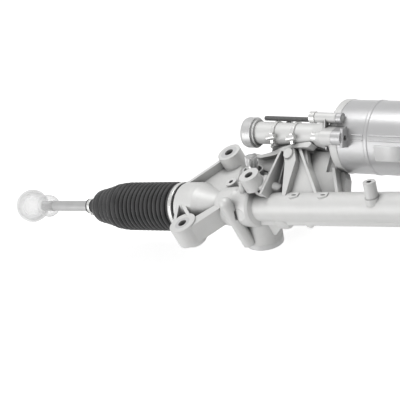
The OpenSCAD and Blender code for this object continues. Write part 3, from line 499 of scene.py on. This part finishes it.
def boot_profile():
    """The outer face of the bellows as [u, radius] points: lip, full folds, small folds, cone and collar."""
    points = [(boot_start, 0.0339), (boot_start + 0.0006, 0.0345)]
    points += [(lip_end - 0.003, 0.0345), (lip_end - 0.001, 0.0312)]
    pitch = (folds_end - lip_end) / fold_count
    for fold in range(fold_count):
        points += fold_points(lip_end + fold * pitch, pitch, fold_crest, fold_depth)
    pitch = (taper_end - folds_end) / len(small_folds)
    for fold, (crest, depth) in enumerate(small_folds):
        points += fold_points(folds_end + fold * pitch, pitch, crest, depth)
    points += [(0.4470, 0.0256), (0.4510, 0.0246), (0.4545, 0.0226), (0.4575, 0.0197), (0.4600, 0.0165)]
    points += [(0.4620, 0.0139), (0.4640, 0.0118), (collar_end, 0.0108), (0.4730, 0.0104), (0.4802, 0.0104)]
    points += [(0.4806, 0.0112), (boot_end - 0.0004, 0.0115), (boot_end, 0.0111)]
    return points


def between(points, start, end):
    """The stretch of a profile from u = start to u = end, with new points on both cuts."""
    def at(u):
        for (u0, r0), (u1, r1) in zip(points, points[1:]):
            if u0 <= u <= u1:
                return (u, r0 + (r1 - r0) * (u - u0) / (u1 - u0))
        return (u, points[-1][1])
    return [at(start)] + [point for point in points if start + 1e-6 < point[0] < end - 1e-6] + [at(end)]


boot_rubber, boot_tree, boot_shader = new_material("boot_rubber")
boot_skin = place_group(boot_tree, cast_skin, Grain=700.0, Clouds=45.0, Corner=0.011, Edge=0.0004, Peel=0.12)
rubber_dark, rubber_pale, valley_painted_shade = (0.036, 0.036, 0.037), (0.115, 0.115, 0.116), (0.001, 0.001, 0.001)
boot_tone = mix_colour(boot_tree, boot_skin["Tone"], rubber_dark, rubber_pale)
# Painted shade: the fold valleys turn near black where the corners are occluded
boot_paint = mix_colour(boot_tree, boot_skin["Corner_Shade"], boot_tone, valley_painted_shade)
boot_tree.links.new(boot_paint, boot_shader.inputs["Base Color"])
boot_tree.links.new(remap(boot_tree, boot_skin["Tone"], 0.34, 0.46), boot_shader.inputs["Roughness"])
boot_tree.links.new(boot_skin["Normal"], boot_shader.inputs["Normal"])
boot_shader.inputs["Specular IOR Level"].default_value = 0.13
outer = boot_profile()
for side, hand in ((-1, "left"), (1, "right")):
    stretches = (
        (f"boot_{hand}_folds", boot_start, slide_end, "housing", "rack", lip_end, slide_end),
        (f"boot_{hand}_taper", slide_end, lift_end, "rack", f"seat_{hand}", slide_end - blend_overlap,
         lift_end),
        (f"boot_{hand}_collar", lift_end, boot_end, f"seat_{hand}", f"rod_{hand}", lift_end - blend_overlap,
         collar_end),
    )
    for name, start, end, body_a, body_b, from_u, to_u in stretches:
        skin = between(outer, start, end)
        inner = [(u, radius - boot_wall) for u, radius in reversed(skin)]
        if name.endswith("collar"):
            inner = [(u, max(radius, rod_grip)) for u, radius in inner]
            inner[0] = (boot_end, rod_grip)
        boot_mesh = bmesh.new()
        turn_round_rack(boot_mesh, side, skin + inner)
        piece = finish_piece(name, boot_mesh)
        piece.data.materials.append(boot_rubber)
        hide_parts(f"boot_{hand}")
        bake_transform(piece)


# Boot clamps
# Each boot is held by a stainless ear clamp at the housing and a small spring band at the rod.
# The pinched ear stands up from the band beside its folded end.
def add_band(mesh, side, start, end, radius, thickness):
    """A flat band round the rack's axis, with its outer edges taken off."""
    edge = min(thickness * 0.4, 0.0004)
    top = radius + thickness
    profile = [(start, radius), (start, top - edge), (start + edge, top)]
    profile += [(end - edge, top), (end, top - edge), (end, radius)]
    turn_round_rack(mesh, side, profile)


def add_ear(mesh, side, middle_u, radius, size, turn):
    """The pinched loop of an ear clamp: a rounded block (width, length, height) that stands on the band."""
    height = size[2]
    rounding, lift = height * 0.3, height * 0.4
    block = bmesh.ops.create_cube(mesh, size=1)["verts"]
    bmesh.ops.scale(mesh, verts=block, vec=size)
    rim = list(dict.fromkeys(edge for corner in block for edge in corner.link_edges))
    rounded = bmesh.ops.bevel(mesh, geom=rim, offset=rounding, offset_type="OFFSET", segments=3,
                              profile=0.5, affect="EDGES", material=-1, clamp_overlap=True)["verts"]
    bmesh.ops.translate(mesh, verts=rounded, vec=(0, 0, radius + lift))
    bmesh.ops.rotate(mesh, verts=rounded, cent=(0, 0, 0), matrix=Matrix.Rotation(turn, 3, "X"))
    bmesh.ops.translate(mesh, verts=rounded, vec=along(side, middle_u))
    bmesh.ops.recalc_face_normals(mesh, faces=mesh.faces)


large_start, large_end, large_radius, large_thickness = 0.2745, 0.2815, 0.0346, 0.0010
large_ear, large_turn = (0.0068, 0.0085, 0.0046), -2.1
small_start, small_end, small_radius, small_thickness = 0.4736, 0.4796, 0.0105, 0.0011
small_ear, small_turn = (0.0050, 0.0050, 0.0028), 2.4
for side, hand in ((-1, "left"), (1, "right")):
    large = bmesh.new()
    add_band(large, side, large_start, large_end, large_radius, large_thickness)
    add_ear(large, side, (large_start + large_end) / 2, large_radius + large_thickness, large_ear,
            large_turn)
    large_piece = finish_piece(f"large_clamp_{hand}", large)
    large_piece.data.materials.append(bright_zinc)
    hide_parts("boot_clamps")
    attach(large_piece, "housing")
    small = bmesh.new()
    add_band(small, side, small_start, small_end, small_radius, small_thickness)
    add_ear(small, side, (small_start + small_end) / 2, small_radius + small_thickness, small_ear,
            small_turn)
    small_piece = finish_piece(f"small_band_{hand}", small)
    small_piece.data.materials.append(bright_zinc)
    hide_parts(f"small_clamp_{hand}")
    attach(small_piece, f"rod_{hand}")

# Lamps, floor and camera
# Plain studio: a broad light overhead, a soft front fill, a weak fill from the right and a
# white surround. The camera is a long lens 2.2 m away, tilted as the picture was taken.
camera_right = Vector((0.7242, 0.5117, -0.4623))
camera_up = Vector((0.0, 0.6704, 0.7420))
camera_back = Vector((0.6896, -0.5374, 0.4855))
aim = Vector((-0.018, 0.0622, 0.0019))
distance = 2.2
camera_data = bpy.data.cameras.new("camera")
camera_data.lens = 138.42
camera_data.sensor_width = 36
camera_data.clip_end = 50
camera = bpy.data.objects.new("camera", camera_data)
bpy.context.scene.collection.objects.link(camera)
camera_turn = Matrix((camera_right, camera_up, camera_back)).transposed().to_4x4()
camera.matrix_world = Matrix.Translation(aim + distance * camera_back) @ camera_turn
bpy.context.scene.camera = camera


def softbox(name, place, size, power):
    """A square area lamp that points at the middle of the gear's near end."""
    lamp = bpy.data.lights.new(name, "AREA")
    lamp.size = size
    lamp.energy = power
    holder = bpy.data.objects.new(name, lamp)
    bpy.context.scene.collection.objects.link(holder)
    holder.location = place
    holder.rotation_mode = "QUATERNION"
    holder.rotation_quaternion = (Vector(place) - aim).to_track_quat("Z", "Y")


softbox("overhead", (0.1, 0.5, 1.6), 0.7, 14)
softbox("front_fill", (-0.8, -1.5, 0.5), 1.3, 15)
softbox("right_fill", (1.3, -1.3, 0.8), 0.6, 3)

# The surround is white where it is seen, also in metal and through the caps, and dim as a light
world = bpy.data.worlds.new("studio")
bpy.context.scene.world = world
world.use_nodes = True
world_tree = world.node_tree
world_tree.nodes.clear()
rays = world_tree.nodes.new("ShaderNodeLightPath").outputs
seen = reckon(world_tree, "MAXIMUM", rays["Is Camera Ray"], rays["Is Glossy Ray"])
seen_through = reckon(world_tree, "MAXIMUM", seen, rays["Is Transmission Ray"])
ambient, white = 0.16, 1.0
sky = add(world_tree, "ShaderNodeBackground",
          {"Color": (1, 1, 1, 1), "Strength": remap(world_tree, seen_through, ambient, white)})
world_out = world_tree.nodes.new("ShaderNodeOutputWorld")
world_tree.links.new(sky.outputs["Background"], world_out.inputs["Surface"])

floor_half, floor_gap, floor_glow = 6, 0.002, 0.8
floor_mesh = bmesh.new()
bmesh.ops.create_grid(floor_mesh, x_segments=1, y_segments=1, size=floor_half)
bmesh.ops.translate(floor_mesh, verts=floor_mesh.verts, vec=(middle_x, 0, cad_low.z - floor_gap))
floor = finish_piece("floor", floor_mesh, smooth=False)
floor_paint, floor_tree, floor_shader = new_material("floor_paint")
floor_rays = floor_tree.nodes.new("ShaderNodeLightPath").outputs
floor_seen = reckon(floor_tree, "MAXIMUM", floor_rays["Is Camera Ray"], floor_rays["Is Glossy Ray"])
floor_shader.inputs["Base Color"].default_value = (0.62, 0.62, 0.62, 1)
floor_shader.inputs["Roughness"].default_value = 0.9
floor_shader.inputs["Emission Color"].default_value = (1, 1, 1, 1)
glow = reckon(floor_tree, "MULTIPLY", floor_seen, floor_glow)
floor_tree.links.new(glow, floor_shader.inputs["Emission Strength"])
floor.data.materials.append(floor_paint)

bpy.context.scene.view_settings.view_transform = "Standard"
